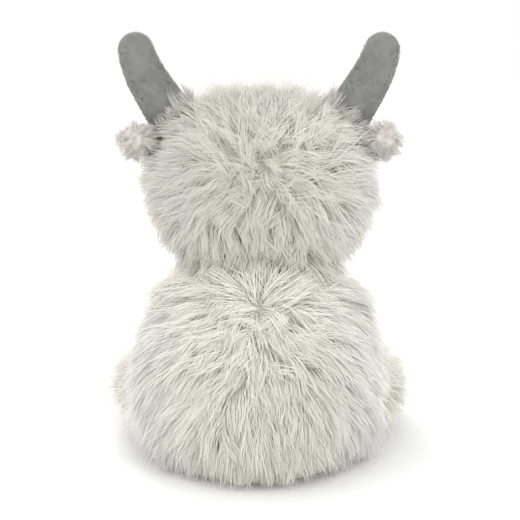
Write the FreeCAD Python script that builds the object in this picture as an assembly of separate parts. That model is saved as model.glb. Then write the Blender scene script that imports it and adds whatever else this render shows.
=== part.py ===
"""Seated long-pile soft toy animal with horns, built as its sewn panels, stuffing and hard fittings.

Frame: +Z is up, the face looks along -Y, and the toy's own left side is +X. The origin is the centre
of the seat's underside. Sizes are millimetres. A pile panel's solid holds its knitted backing and the
whole depth of its pile, so its inner face is the backing and its outer face is where the pile ends.
The neck, each leg, ear and horn has a ball root in a pocket of the same centre, and it bends there.
"""

import FreeCAD
import Part
import math
import os

Vector = FreeCAD.Vector
UP = Vector(0, 0, 1)
FAR = 400.0  # larger than the toy in every direction

# Gaps between pieces
SEAM = 0.8  # between two panels sewn edge to edge
LAY = 0.3  # between a fabric and the stuffing it covers
CLEAR = 0.6  # between a moving root and its pocket
TURNED_CLEAR = 0.48  # round the turned copies in a pocket, less so that no two ball faces coincide

# Fabrics
PILE = 11.0  # long pile on the body and head
FACE_PILE = 5.0  # trimmed pile round the eyes
VELBOA = 1.6  # short-pile fabric of the horns, hooves and muzzle
SEAT_FABRIC = 2.0

# Torso: two balls wrapped in one skin and cut flat underneath
HIP_CENTRE, HIP_RADIUS = Vector(0, 0, 46), 70.0
CHEST_CENTRE, CHEST_RADIUS = Vector(0, 0, 74), 60.0
SEAT_RADIUS = 47.0
SIDE_SEAM_Y = -10.0

# Neck: a stuffed ball between the torso and the head
NECK_CENTRE, NECK_RADIUS = Vector(0, 0, 112), 40.0
NECK_PILE = 9.0
NECK_BAND = 14.0  # half height of the neck's own pile band
NECK_OPENING = 8.0  # from its middle up to the head's rim, and down to the torso's rim

# Head: two balls side by side in one skin
HEAD_HALF_SPAN, HEAD_HEIGHT, HEAD_RADIUS = 12.0, 163.0, 53.0
FACE_SEAM_Y = -34.0
CROWN_STRIP = 18.0  # half width of the strip from forehead to nape

# Muzzle, nose and mouth
MUZZLE_ROOT, MUZZLE_ROOT_RADIUS = Vector(0, -38, 150), 20.0
MUZZLE_TIP, MUZZLE_TIP_RADIUS = Vector(0, -62, 146), 17.0
MOUTH_HEIGHT = 141.0
NOSE_END, NOSE_RADIUS = Vector(3.5, -78.5, 153), 4.2
MOUTH_THREAD_RADIUS = 0.6
MOUTH_TOP = Vector(0, -1.0, 0.035)  # from the muzzle's tip to where the stitches start
MOUTH_FORK = Vector(0.09, -0.93, -0.33)  # from the muzzle's tip to where the left curl starts
MOUTH_CURL_AXIS = Vector(0, 0.35, 1)
MOUTH_DROP, MOUTH_CURL = 15.0, 40.0  # degrees round the muzzle's tip

# Eyes
EYE_TURN, EYE_LIFT = 20.0, 12.0  # degrees out from straight ahead, and up
EYE_RADIUS, EYE_SPHERE, EYE_SINK = 6.0, 7.5, 4.5  # rim, the dome's own sphere, and its depth
SHANK_RADIUS, SHANK_LENGTH = 1.6, 15.0
WASHER_RADIUS, WASHER_THICKNESS, WASHER_DEPTH = 6.5, 1.6, 7.5

# Ears
EAR_ROOT, EAR_ROOT_RADIUS = Vector(61, 10, 186), 8.0
EAR_TIP, EAR_TIP_RADIUS = Vector(69, 10, 187), 11.0
EAR_HALF_THICKNESS, EAR_LINING = 7.0, 3.0
EAR_TURNS = (-20.0, 0.0, 20.0)

# Horns: the middle line from root to tip, and the radius at each end
HORN_Y = -3.0
HORN_LINE = [(50, 200), (57, 211), (63, 221), (67, 230), (69, 236.5)]
HORN_ROOT_RADIUS, HORN_TIP_RADIUS = 13.0, 10.0
HORN_RING_SHARE = 0.985  # of that radius between the end balls, so that they meet in a clean edge
HORN_TURNS = (-10.0, 0.0, 10.0)

# Front legs
SHOULDER, FRONT_TOE = Vector(30, -60, 70), Vector(25, -104, 12.5)
FRONT_CORE_RADIUS, FRONT_PILE = 9.0, 7.0
FRONT_SLEEVE = 0.72  # share of the leg under long pile
FRONT_TURNS = (-5.0, 10.0, 25.0)

# Hind legs
HIP, HIND_TOE = Vector(65, -28, 36), Vector(67, -98, 19)
HIND_CORE_RADIUS, HIND_PILE = 12.0, 9.0
HIND_SLEEVE = 0.82
HIND_FOOT = 8.0  # from the toe's ball centre to the flat sole
HIND_TURNS = (-5.0, 10.0, 25.0)
HOOF_FLARE = 2.0  # how far a front hoof stands out past the leg's core, and half as far as a hind one
LEG_TAPER = 2.0  # how much smaller the pile's radius is at the toe than at the body

# Pellet pouch above the seat
POUCH_CENTRE = Vector(0, 0, 19)
POUCH_RADIUS, POUCH_HALF_HEIGHT, POUCH_FABRIC = 36.0, 13.0, 1.0
PELLET_RADIUS, PELLET_PITCH = 2.4, 8.5

# Thread of the back seam, in degrees above the middle of the hips
BACK_THREAD_RADIUS, BACK_THREAD_SPAN = 0.3, (-30.0, 10.0)


def box(x0, x1, y0, y1, z0, z1):
    """Axis-aligned block between two corners."""
    return Part.makeBox(x1 - x0, y1 - y0, z1 - z0, Vector(x0, y0, z0))


def ball(centre, radius):
    return Part.makeSphere(radius, centre)


def spun(edges, centre=Vector(0, 0, 0)):
    """Solid of revolution about the upright axis through centre."""
    solid = Part.Face(Part.Wire(edges)).revolve(Vector(0, 0, 0), UP, 360)
    solid.translate(centre)
    return solid


def wrapped(start, end, start_radius, end_radius):
    """Two balls and the tight skin round both."""
    axis = end - start
    lean = math.asin((start_radius - end_radius) / axis.Length)

    def on_start(angle):
        return Vector(start_radius * math.cos(angle), 0, start_radius * math.sin(angle))

    def on_end(angle):
        return Vector(end_radius * math.cos(angle), 0, axis.Length + end_radius * math.sin(angle))

    bottom, top = -math.pi / 2, math.pi / 2
    edges = [
        Part.Arc(on_start(bottom), on_start((bottom + lean) / 2), on_start(lean)).toShape(),
        Part.makeLine(on_start(lean), on_end(lean)),
        Part.Arc(on_end(lean), on_end((lean + top) / 2), on_end(top)).toShape(),
        Part.makeLine(on_end(top), on_start(bottom)),
    ]
    solid = spun(edges)
    solid.Placement = FreeCAD.Placement(start, FreeCAD.Rotation(UP, axis))
    return solid


def pill(centre, radius, half_height):
    """Flat round cushion with a half-round rim."""
    flat = radius - half_height
    low, high = Vector(0, 0, -half_height), Vector(0, 0, half_height)
    side = Vector(flat, 0, 0)
    edges = [
        Part.makeLine(low, low + side),
        Part.Arc(low + side, Vector(radius, 0, 0), high + side).toShape(),
        Part.makeLine(high + side, high),
        Part.makeLine(high, low),
    ]
    return spun(edges, centre)


def arc_thread(centre, start, axis, degrees, radius):
    """Thread lying on a circle about centre."""
    section = Part.Face(Part.Wire(Part.makeCircle(radius, start, axis.cross(start - centre))))
    return section.revolve(centre, axis, degrees)


def beyond(point, direction):
    """Everything past the plane through point that is square to direction."""
    block = Part.makeBox(FAR, FAR, FAR, Vector(-FAR / 2, -FAR / 2, 0))
    block.Placement = FreeCAD.Placement(point, FreeCAD.Rotation(UP, direction))
    return block


def unit(way):
    return way / way.Length


def along(start, end, share):
    return start + (end - start) * share


def mirrored(shape):
    """The same piece on the toy's right side."""
    return shape.mirror(Vector(0, 0, 0), Vector(1, 0, 0))


def both_sides(shapes):
    return shapes + [mirrored(shape) for shape in shapes]


def turned(shape, centre, axis, angles):
    """The same shape at several angles about an axis through centre."""
    copies = []
    for angle in angles:
        copy = shape.copy()
        copy.rotate(centre, axis, angle)
        copies.append(copy)
    return copies


def without(shape, tools):
    for tool in tools:
        shape = shape.cut(tool)
    return shape


def largest(shape):
    """The largest of the shape's separate solids. The others are slivers left between pockets."""
    return max(shape.Solids, key=lambda solid: solid.Volume)


# Whole forms that the pieces are cut from


def torso(depth, floor):
    """The torso moved in from the end of its pile by depth, and cut flat at floor."""
    form = wrapped(HIP_CENTRE, CHEST_CENTRE, HIP_RADIUS - depth, CHEST_RADIUS - depth)
    return form.cut(box(-FAR, FAR, -FAR, FAR, -FAR, floor))


def head(depth):
    """The head moved in from the end of its long pile by depth."""
    radius = HEAD_RADIUS - depth
    left = Vector(HEAD_HALF_SPAN, 0, HEAD_HEIGHT)
    return wrapped(Vector(-HEAD_HALF_SPAN, 0, HEAD_HEIGHT), left, radius, radius)


def muzzle(amount):
    return wrapped(MUZZLE_ROOT, MUZZLE_TIP, MUZZLE_ROOT_RADIUS + amount, MUZZLE_TIP_RADIUS + amount)


def nose(amount):
    other_end = Vector(-NOSE_END.x, NOSE_END.y, NOSE_END.z)
    return wrapped(other_end, NOSE_END, NOSE_RADIUS + amount, NOSE_RADIUS + amount)


def ear(amount):
    form = wrapped(EAR_ROOT, EAR_TIP, EAR_ROOT_RADIUS + amount, EAR_TIP_RADIUS + amount)
    half = EAR_HALF_THICKNESS + amount
    return form.common(box(0, FAR, EAR_ROOT.y - half, EAR_ROOT.y + half, 0, FAR))


def horn(amount):
    """The bent, tapered horn with its ball root and round tip."""
    line = Part.BSplineCurve()
    line.interpolate([Vector(x, HORN_Y, z) for x, z in HORN_LINE])
    last = len(HORN_LINE) - 1
    rings = []
    for index in range(last + 1):
        at = line.FirstParameter + (line.LastParameter - line.FirstParameter) * index / last
        way = Vector(*line.tangent(at)[0])
        radius = HORN_ROOT_RADIUS + (HORN_TIP_RADIUS - HORN_ROOT_RADIUS) * index / last
        ring = Part.Wire(Part.makeCircle(HORN_RING_SHARE * radius + amount))
        ring.Placement = FreeCAD.Placement(line.value(at), FreeCAD.Rotation(UP, way))
        rings.append(ring)
    root = ball(horn_root(), HORN_ROOT_RADIUS + amount)
    tip = ball(line.value(line.LastParameter), HORN_TIP_RADIUS + amount)
    return Part.makeLoft(rings, True, False).fuse(root).fuse(tip)


def horn_root():
    x, z = HORN_LINE[0]
    return Vector(x, HORN_Y, z)


def front_leg(amount):
    outer = FRONT_CORE_RADIUS + FRONT_PILE + amount
    return wrapped(SHOULDER, FRONT_TOE, outer, outer - LEG_TAPER)


def hind_leg(amount):
    outer = HIND_CORE_RADIUS + HIND_PILE + amount
    return wrapped(HIP, HIND_TOE, outer, outer - LEG_TAPER)


# Room for the moving parts


def neck_room(side):
    """What the neck and its opening take from the head (side 1) or the torso (side -1)."""
    rim = NECK_CENTRE.z + side * NECK_OPENING
    low, high = (-FAR, rim) if side > 0 else (rim, FAR)
    return [box(-FAR, FAR, -FAR, FAR, low, high), ball(NECK_CENTRE, NECK_RADIUS + CLEAR)]


def torso_pockets():
    sideways = Vector(-1, 0, 0)
    front = turned(front_leg(TURNED_CLEAR), SHOULDER, sideways, FRONT_TURNS)
    hind = turned(hind_leg(TURNED_CLEAR), HIP, sideways, HIND_TURNS)
    roots = [ball(SHOULDER, FRONT_CORE_RADIUS + FRONT_PILE + CLEAR)]
    roots.append(ball(HIP, HIND_CORE_RADIUS + HIND_PILE + CLEAR))
    return neck_room(-1) + both_sides(roots + front + hind)


def head_pockets():
    fore_aft = Vector(0, 1, 0)
    horns = turned(horn(TURNED_CLEAR), horn_root(), fore_aft, HORN_TURNS)
    ears = turned(ear(TURNED_CLEAR), EAR_ROOT, fore_aft, EAR_TURNS)
    roots = [ball(horn_root(), HORN_ROOT_RADIUS + CLEAR), ball(EAR_ROOT, EAR_ROOT_RADIUS + CLEAR)]
    return neck_room(1) + both_sides(roots + horns + ears)


# Torso


def torso_parts():
    pockets = torso_pockets()
    seat_hole = Part.makeCylinder(SEAT_RADIUS + SEAM, SEAT_FABRIC + LAY)
    skin = without(torso(0, 0), [torso(PILE, SEAT_FABRIC), seat_hole] + pockets)
    stuffing = without(torso(PILE + LAY, SEAT_FABRIC + LAY), pockets)
    pouch = pill(POUCH_CENTRE, POUCH_RADIUS, POUCH_HALF_HEIGHT)
    lining = pill(POUCH_CENTRE, POUCH_RADIUS - POUCH_FABRIC, POUCH_HALF_HEIGHT - POUCH_FABRIC)
    pouch_room = pill(POUCH_CENTRE, POUCH_RADIUS + LAY, POUCH_HALF_HEIGHT + LAY)
    half = SEAM / 2
    behind, ahead = SIDE_SEAM_Y + half, SIDE_SEAM_Y - half
    return {
        "back_fur_left": skin.common(box(half, FAR, behind, FAR, -1, FAR)),
        "back_fur_right": skin.common(box(-FAR, -half, behind, FAR, -1, FAR)),
        "belly_fur": skin.common(box(-FAR, FAR, -FAR, ahead, -1, FAR)),
        "seat_panel": Part.makeCylinder(SEAT_RADIUS, SEAT_FABRIC),
        "torso_stuffing": stuffing.cut(pouch_room),
        "bean_pouch": pouch.cut(lining),
        "bean_pellets": pellets(),
        "back_seam_thread": back_seam_thread(),
    }


def pellets():
    """Plastic pellets on a staggered grid inside the pouch."""
    margin = POUCH_FABRIC + PELLET_RADIUS + LAY
    found = []
    for layer in (-1, 0, 1):
        for row in range(-5, 6):
            for column in range(-5, 6):
                shift = 0.5 * ((row + layer) % 2)
                offset = Vector(column + shift, 0.87 * row, 0.75 * layer) * PELLET_PITCH
                if math.hypot(offset.x, offset.y) < POUCH_RADIUS - POUCH_HALF_HEIGHT / 2 - margin:
                    found.append(ball(POUCH_CENTRE + offset, PELLET_RADIUS))
    return Part.makeCompound(found)


def back_seam_thread():
    """Sewing thread down the middle of the back, in the gap between the two back panels."""
    low, high = BACK_THREAD_SPAN
    depth = HIP_RADIUS - PILE + 2.0
    rise = math.radians(low)
    start = HIP_CENTRE + Vector(0, math.cos(rise), math.sin(rise)) * depth
    return arc_thread(HIP_CENTRE, start, Vector(1, 0, 0), high - low, BACK_THREAD_RADIUS)


# Neck


def neck_parts():
    low, high = NECK_CENTRE.z - NECK_BAND, NECK_CENTRE.z + NECK_BAND
    whole = ball(NECK_CENTRE, NECK_RADIUS)
    ring = whole.cut(ball(NECK_CENTRE, NECK_RADIUS - NECK_PILE))
    filling = whole.cut(box(-FAR, FAR, -FAR, FAR, low - LAY, high + LAY))
    middle = ball(NECK_CENTRE, NECK_RADIUS - NECK_PILE - LAY)
    return {
        "neck_fur": ring.common(box(-FAR, FAR, -FAR, FAR, low, high)),
        "neck_stuffing": filling.fuse(middle),
    }


# Head


def eye_axis():
    """Where the left eye sits on the face's trimmed pile, and the way it looks."""
    turn, lift = math.radians(EYE_TURN), math.radians(EYE_LIFT)
    look = Vector(math.sin(turn) * math.cos(lift), -math.cos(turn) * math.cos(lift), math.sin(lift))
    middle = Vector(HEAD_HALF_SPAN, 0, HEAD_HEIGHT)
    return middle + look * (HEAD_RADIUS - PILE + FACE_PILE + LAY), look


def eye():
    """Domed eye that stands on the pile, with its shank."""
    seat, look = eye_axis()
    dome = ball(seat - look * EYE_SINK, EYE_SPHERE).common(beyond(seat, look))
    return dome.fuse(shank(0))


def shank(amount):
    """The eye's shank, or with an amount the hole it needs."""
    seat, look = eye_axis()
    length = SHANK_LENGTH + amount
    return Part.makeCylinder(SHANK_RADIUS + amount, length + 1, seat - look * length, look)


def eye_washer(amount):
    """Push-on washer behind the fabric. amount grows it all round, and leaves out its hole."""
    seat, look = eye_axis()
    back = seat - look * (WASHER_DEPTH + amount)
    disc = Part.makeCylinder(WASHER_RADIUS + amount, WASHER_THICKNESS + 2 * amount, back, look)
    if amount:
        return disc
    return disc.cut(Part.makeCylinder(SHANK_RADIUS + 0.05, 3 * WASHER_THICKNESS, back - look, look))


def mouth_thread():
    """Stitched mouth on the muzzle's tip: a short drop below the nose and a curl to each side."""
    radius = MUZZLE_TIP_RADIUS + MOUTH_THREAD_RADIUS + LAY
    top = MUZZLE_TIP + unit(MOUTH_TOP) * radius
    fork = MUZZLE_TIP + unit(MOUTH_FORK) * radius
    upright = arc_thread(MUZZLE_TIP, top, Vector(1, 0, 0), MOUTH_DROP, MOUTH_THREAD_RADIUS)
    left = arc_thread(MUZZLE_TIP, fork, unit(MOUTH_CURL_AXIS), MOUTH_CURL, MOUTH_THREAD_RADIUS)
    return Part.makeCompound([upright, left, mirrored(left)])


def head_parts():
    pockets = head_pockets()
    core = head(PILE)
    shanks = both_sides([shank(LAY)])
    washers = both_sides([eye_washer(LAY)])
    long_pile = without(head(0), [core, muzzle(SEAM)] + pockets)
    short_pile = without(head(PILE - FACE_PILE), [core, muzzle(SEAM)] + pockets + shanks)
    half = SEAM / 2
    behind_face = long_pile.common(box(-FAR, FAR, FACE_SEAM_Y + half, FAR, 0, FAR))
    inner, outer = CROWN_STRIP - half, CROWN_STRIP + half
    neck_ball = neck_room(1)[-1]
    sleeve = without(muzzle(0), [muzzle(-VELBOA), core, nose(LAY), neck_ball])
    return {
        "crown_fur": largest(behind_face.common(box(-inner, inner, -FAR, FAR, 0, FAR))),
        "side_fur_left": behind_face.common(box(outer, FAR, -FAR, FAR, 0, FAR)),
        "side_fur_right": behind_face.common(box(-FAR, -outer, -FAR, FAR, 0, FAR)),
        "face_fur": short_pile.common(box(-FAR, FAR, -FAR, FACE_SEAM_Y - half, 0, FAR)),
        "head_stuffing": largest(without(head(PILE + LAY), pockets + shanks + washers)),
        "muzzle_top": sleeve.common(box(-FAR, FAR, -FAR, FAR, MOUTH_HEIGHT + half, FAR)),
        "muzzle_chin": sleeve.common(box(-FAR, FAR, -FAR, FAR, 0, MOUTH_HEIGHT - half)),
        "muzzle_stuffing": without(muzzle(-VELBOA - LAY), [core, nose(LAY), neck_ball]),
        "nose": nose(0),
        "mouth_thread": mouth_thread(),
        "eye_left": eye(),
        "eye_right": mirrored(eye()),
        "eye_washers": Part.makeCompound(both_sides([eye_washer(0)])),
    }


# Ears, horns and legs, all on the toy's left side


def ear_parts():
    seam = EAR_ROOT.y - EAR_HALF_THICKNESS + EAR_LINING
    whole = ear(0)
    return {
        "ear_left_fur": whole.common(box(0, FAR, seam + SEAM / 2, FAR, 0, FAR)),
        "ear_left_lining": whole.common(box(0, FAR, -FAR, seam - SEAM / 2, 0, FAR)),
    }


def horn_parts():
    fabric = horn(0).cut(horn(-VELBOA))
    half = SEAM / 4
    return {
        "horn_left_back": fabric.common(box(-FAR, FAR, HORN_Y + half, FAR, 0, FAR)),
        "horn_left_front": fabric.common(box(-FAR, FAR, -FAR, HORN_Y - half, 0, FAR)),
        "horn_left_stuffing": horn(-VELBOA - LAY),
    }


def front_leg_parts():
    way = unit(FRONT_TOE - SHOULDER)
    wrist = along(SHOULDER, FRONT_TOE, FRONT_SLEEVE)
    core = wrapped(SHOULDER, FRONT_TOE, FRONT_CORE_RADIUS, FRONT_CORE_RADIUS)
    room = wrapped(SHOULDER, FRONT_TOE, FRONT_CORE_RADIUS + LAY, FRONT_CORE_RADIUS + LAY)
    hoof_radius = FRONT_CORE_RADIUS + HOOF_FLARE
    hoof = wrapped(SHOULDER, FRONT_TOE, hoof_radius, hoof_radius)
    return {
        "front_leg_left_fur": without(front_leg(0), [beyond(wrist, way), room]),
        "front_leg_left_hoof": hoof.common(beyond(wrist + way * SEAM, way)).cut(room),
        "front_leg_left_stuffing": core,
    }


def hind_leg_parts():
    way = unit(HIND_TOE - HIP)
    ankle = along(HIP, HIND_TOE, HIND_SLEEVE)
    foot_start, foot_end = ankle + way * SEAM, HIND_TOE + way * HIND_FOOT
    length = (foot_end - foot_start).Length
    radius = HIND_CORE_RADIUS + 2 * HOOF_FLARE
    inside = radius - VELBOA
    leg = wrapped(HIP, HIND_TOE, HIND_CORE_RADIUS, HIND_CORE_RADIUS).cut(beyond(foot_start, way))
    room = wrapped(HIP, HIND_TOE, HIND_CORE_RADIUS + LAY, HIND_CORE_RADIUS + LAY)
    foot = Part.makeCylinder(radius, length, foot_start, way)
    filling = Part.makeCylinder(inside - LAY, length, foot_start, way)
    return {
        "hind_leg_left_fur": without(hind_leg(0), [beyond(ankle, way), room]),
        "hind_leg_left_hoof": foot.cut(Part.makeCylinder(inside, length, foot_start, way)),
        "hind_leg_left_sole": Part.makeCylinder(radius, VELBOA, foot_end + way * LAY, way),
        "hind_leg_left_stuffing": leg.fuse(filling),
    }


def right_side(parts):
    return {name.replace("_left", "_right"): mirrored(shape) for name, shape in parts.items()}


def main():
    os.makedirs("parts", exist_ok=True)
    parts = {}
    for group in (torso_parts, neck_parts, head_parts):
        parts.update(group())
    for group in (ear_parts, horn_parts, front_leg_parts, hind_leg_parts):
        left = group()
        parts.update(left)
        parts.update(right_side(left))
    for name, shape in parts.items():
        if not shape.isValid() or not shape.Solids:
            raise ValueError(f"{name} is not a sound solid")
        Part.makeCompound(shape.Solids).exportStep(os.path.join("parts", name + ".step"))


main()
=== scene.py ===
"""Looks of the seated long-pile soft toy: combed fur, stuffed horns, face, hooves and stage.

Lengths here are millimetres in the CAD frame until a mesh is written, which is in metres. The face looks
along -Y and the toy's own left side is +X. Fur is real geometry: each strand is a closed three-sided tube
that starts under the end of the pile and leans with the comb of its panel.
"""

import bmesh
import bpy
import math
import numpy as np
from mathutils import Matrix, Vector, kdtree


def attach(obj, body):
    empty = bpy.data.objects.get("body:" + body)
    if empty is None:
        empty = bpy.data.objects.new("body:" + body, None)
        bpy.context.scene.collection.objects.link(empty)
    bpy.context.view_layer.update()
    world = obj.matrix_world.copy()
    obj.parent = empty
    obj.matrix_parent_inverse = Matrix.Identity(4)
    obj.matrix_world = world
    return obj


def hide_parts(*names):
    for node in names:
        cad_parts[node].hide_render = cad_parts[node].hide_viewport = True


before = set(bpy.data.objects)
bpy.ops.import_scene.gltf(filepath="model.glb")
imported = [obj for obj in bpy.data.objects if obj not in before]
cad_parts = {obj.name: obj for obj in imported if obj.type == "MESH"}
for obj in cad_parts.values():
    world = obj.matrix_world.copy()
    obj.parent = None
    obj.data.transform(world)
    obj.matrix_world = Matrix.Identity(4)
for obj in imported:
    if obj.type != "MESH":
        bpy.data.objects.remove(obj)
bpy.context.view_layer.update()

MM = 0.001
UP = np.array([0.0, 0.0, 1.0])

# Forms, as in the CAD source
HIP_CENTRE, HIP_RADIUS = np.array([0.0, 0.0, 46.0]), 70.0
CHEST_CENTRE, CHEST_RADIUS = np.array([0.0, 0.0, 74.0]), 60.0
NECK_CENTRE, NECK_RADIUS = np.array([0.0, 0.0, 112.0]), 40.0
TORSO_TOP, HEAD_BOTTOM = 104.0, 120.0
HEAD_LEFT, HEAD_RADIUS, FACE_RADIUS = np.array([12.0, 0.0, 163.0]), 53.0, 47.0
SIDE_SEAM_Y, FACE_SEAM_Y, CROWN_STRIP = -10.0, -34.0, 18.0
MUZZLE_ROOT, MUZZLE_TIP = np.array([0.0, -38.0, 150.0]), np.array([0.0, -62.0, 146.0])
MUZZLE_ROOT_RADIUS, MUZZLE_TIP_RADIUS = 20.0, 17.0
MOUTH_HEIGHT = 141.0
NOSE_LEFT, NOSE_RADIUS = np.array([3.5, -78.5, 153.0]), 4.2
EYE = np.array([27.8, -43.5, 172.8])
EAR_ROOT, EAR_TIP = np.array([61.0, 10.0, 186.0]), np.array([69.0, 10.0, 187.0])
EAR_ROOT_RADIUS, EAR_TIP_RADIUS, EAR_HALF_THICKNESS = 8.0, 11.0, 7.0
HORN_Y = -3.0
HORN_LINE = [(50, 200), (57, 211), (63, 221), (67, 230), (69, 236.5)]
HORN_ROOT_RADIUS, HORN_TIP_RADIUS = 13.0, 10.0
SHOULDER, FRONT_TOE = np.array([30.0, -60.0, 70.0]), np.array([25.0, -104.0, 12.5])
FRONT_RADIUS, FRONT_HOOF_RADIUS, FRONT_SLEEVE = 16.0, 11.0, 0.72
HIP, HIND_TOE = np.array([65.0, -28.0, 36.0]), np.array([67.0, -98.0, 19.0])
HIND_RADIUS, HIND_HOOF_RADIUS, HIND_SLEEVE, HIND_FOOT = 21.0, 16.0, 0.82, 8.0
LEG_TAPER = 2.0

# Cloth: how deep it lies below the end of the pile, and how uneven it is
BACKING, NECK_BACKING, EAR_BACKING, LEG_BACKING = 8.5, 4.0, 3.4, 5.0
BACKING_BOTTOM = 2.3
LINING_DEPTH, LINING_INSET, LINING_THICKNESS = 2.2, 2.0, 3.0
CLOTH_BUMP, CLOTH_BUMP_SPAN, CLOTH_SEED = 0.5, 9.0, 3
LARGEST_REACH, HALVINGS = 200.0, 24  # for finding where the cloth is

# Hooves
FRONT_HOOF_INSET, HIND_HOOF_INSET = 4.0, 2.0  # how far a hoof starts inside its sleeve
SOLE_BULGE, SOLE_EDGE = 1.9, 2.6
GROOVE_DEPTH, GROOVE_WIDTH = 0.7, 0.8  # the sewn line round a sole

# Horns. Widths across the seam are sines of the angle round the horn
HORN_AROUND, HORN_ALONG, HORN_CAP = 72, 90, 15  # points round it, and rings along it and over its tip
HORN_LINKS = 6  # pieces of its form
SEAM_DEPTH, SEAM_WIDTH = 0.55, 0.07
PUCKER_HEIGHT, PUCKER_WIDTH, PUCKER_STEP = 0.10, 0.5, 0.9
HORN_BUMPS = ((0.45, 26.0, 41), (0.16, 7.0, 42))  # height, span and seed

# The shape of one strand
RINGS = 4  # rings of a strand before its tip
STRAND_PROFILE = (0.8, 1.0, 0.85, 0.55)  # its width at each ring
STRAND_CORNERS = (90, -30, -150)  # degrees round its section
STRAND_FLATNESS = 0.8
STRAND_WAVES = (0.6, 1.5)  # side to side, along its length
LEAN_CURVE = 0.8  # how soon it leans over
SOFTNESS = 0.66  # share of the pile's own direction in a strand's shading, as light spreads through pile
FLOOR_GAP, FLOOR_SPREAD = 0.6, 0.4  # lowest a strand goes, and more for one off its lock's middle
DRAPE_GAP = 0.5  # how far a strand that lies against a horn or an ear keeps off it

# How locks and their strands differ: a turn is in radians, a rise is in degrees, a share has no unit
MOST_CANDIDATES = 900000
LOCK_SPREAD = 0.42  # how far a lock's roots scatter, as a share of the spacing
LOCK_LENGTHS, STRAND_LENGTHS = (0.8, 1.15), (0.78, 1.04)
LOCK_RISE, LOCK_RISE_LIMITS = 5.0, (-10, 12)
STRAND_TURN, STRAND_RISE = 0.16, 4.0
TOUSLE_TURN, TOUSLE_RISE = 1.1, 26.0  # at the middle of a whorl
SWIRL_TURN, SWIRL_SPAN = 0.4, 38.0  # broad turns of the comb
LOCK_WOBBLE, STRAND_WOBBLE = 0.10, (0.05, 0.24)
CLUMP_CURVE, CLUMP_ROOM = 1.3, 0.4  # how late a lock closes, and how open its end stays
WISP_LENGTH, WISP_RISE, WISP_FREEDOM = 0.28, 9.0, 0.7  # wisps are longer, more upright and less clumped
STRAND_WIDTHS = (0.7, 1.25)

# The UV map's u is a strand's tone, with cool shades first and warm ones after. Its v runs from root to tip
LOCK_TONE, STRAND_TONE = 0.025, 0.05
TONE_SPAN, WARM_START = 0.49, 0.51
UV_MARGIN, UV_SIDE_STEP = 0.01, 0.003


# Small numpy helpers


def unit(v):
    return v / np.maximum(np.linalg.norm(v, axis=-1, keepdims=True), 1e-9)


def dot(a, b):
    return (a * b).sum(-1)


def smooth(low, high, x):
    t = np.clip((x - low) / (high - low), 0.0, 1.0)
    return t * t * (3.0 - 2.0 * t)


def mirror(points):
    return points * np.array([-1.0, 1.0, 1.0])


def fractal(points, scale, seed):
    """Smooth noise from -1 to 1 at each point, as a few sine waves in random directions."""
    source = np.random.default_rng(seed)
    total = np.zeros(len(points))
    for octave in range(3):
        ways = unit(source.normal(size=(6, 3)))
        phases = source.uniform(0, 2 * math.pi, 6)
        waves = np.sin(points @ ways.T * (2 * math.pi * (2**octave) / scale) + phases)
        total += waves.sum(1) / 6 * 0.55**octave
    return np.clip(total * 1.6, -1.0, 1.0)


# Signed distances


def round_cone(a, b, ra, rb):
    """Distance to two balls in one tight skin."""
    ba = b - a
    length2 = float(ba @ ba)
    rr = ra - rb
    a2 = length2 - rr * rr

    def distance(p):
        pa = p - a
        y = pa @ ba
        z = y - length2
        cross = pa * length2 - np.outer(y, ba)
        x2 = dot(cross, cross)
        y2, z2 = y * y * length2, z * z * length2
        k = np.sign(rr) * rr * rr * x2
        past_b = np.sign(z) * a2 * z2 > k
        before_a = np.sign(y) * a2 * y2 < k
        side = (np.sqrt(x2 * a2 / length2) + y * rr) / length2 - ra
        at_b = np.sqrt(x2 + z2) / length2 - rb
        at_a = np.sqrt(x2 + y2) / length2 - ra
        return np.where(past_b, at_b, np.where(before_a, at_a, side))

    return distance


def crossbar(left_end, radius):
    """Distance to a round bar from a point on the left to its mirror image on the right."""
    return round_cone(mirror(left_end), left_end, radius, radius)


def sphere(centre, radius):
    return lambda p: np.linalg.norm(p - centre, axis=1) - radius


def half_space(normal, offset):
    """The side of a plane that its normal points away from."""
    return lambda p: p @ np.array(normal, float) - offset


def puck(start, end, radius, edge):
    """Distance to a round pad between two points, with rounded edges and a sewn line round its far end."""
    way = unit(end - start)
    centre, half = (start + end) / 2, np.linalg.norm(end - start) / 2

    def distance(p):
        along = (p - centre) @ way
        across = np.linalg.norm(p - centre - np.outer(along, way), axis=1)
        over = np.stack([across - (radius - edge), np.abs(along) - (half - edge)], 1)
        outside = np.linalg.norm(np.maximum(over, 0), axis=1) + np.minimum(over.max(1), 0) - edge
        line = np.exp(-(((along - half + 1.4 * edge) / GROOVE_WIDTH) ** 2))
        near_rim = across > radius - 3 * edge
        return outside + GROOVE_DEPTH * line * near_rim

    return distance


def deeper(form, depth):
    return lambda p: form(p) + depth


def overlap(*forms):
    """Where all the forms are."""
    return lambda p: np.max([form(p) for form in forms], axis=0)


def nearest(*forms):
    """Distance to the nearest of several forms."""
    return lambda p: np.min([form(p) for form in forms], axis=0)


def on_both_sides(form):
    """Distance to a form, or to its mirror image if that is nearer."""
    return lambda p: np.minimum(form(p), form(mirror(p)))


def gradient(form, p):
    steps = np.eye(3) * 0.05
    return unit(np.stack([form(p + s) - form(p - s) for s in steps], 1))


def settle(form, p):
    """Points moved onto a form's surface."""
    for _ in range(3):
        p = p - gradient(form, p) * form(p)[:, None]
    return p


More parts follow.
